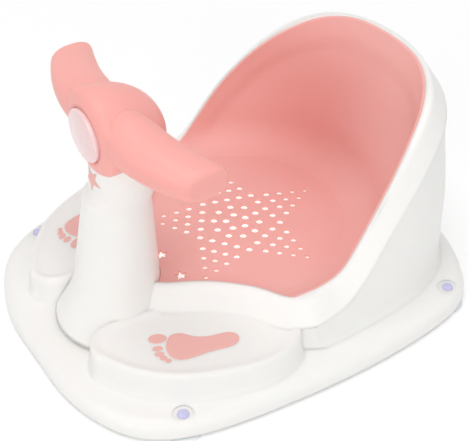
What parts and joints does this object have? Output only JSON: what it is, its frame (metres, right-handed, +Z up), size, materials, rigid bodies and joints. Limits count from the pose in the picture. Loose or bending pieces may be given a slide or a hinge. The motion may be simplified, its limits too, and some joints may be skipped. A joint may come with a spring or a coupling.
{
  "type": "baby bath seat",
  "caption": "Baby bath seat: white moulded tub seat with high backrest, soft pink liner with star of drain holes, foot rests, front post with pink grips and suction cups under the base.",
  "frame": {"origin": "middle of the footprint on the plane that the suction cups rest on", "axes": "+Z up, +Y toward the backrest, +X to the right of someone who faces the backrest"},
  "size_m": [0.3274, 0.3912, 0.2407],
  "materials": {
    "white_pp": "satin",
    "pink_tpe": "matte",
    "pink_grip": "satin",
    "pale_gloss": "gloss",
    "clear_pvc": "gloss"
  },
  "bodies": {
    "root": {"base_shell": "white_pp", "seat_liner": "pink_tpe", "handle": "pink_grip", "handle_neck": "white_pp", "neck_star": "pink_tpe", "hub_cap": "pale_gloss", "footprint_right": "pink_tpe", "footprint_left": "pink_tpe", "suction_cup_front_left": "clear_pvc", "suction_cup_front_right": "clear_pvc", "suction_cup_back_left": "clear_pvc", "suction_cup_back_right": "clear_pvc"}
  },
  "joints": []
}
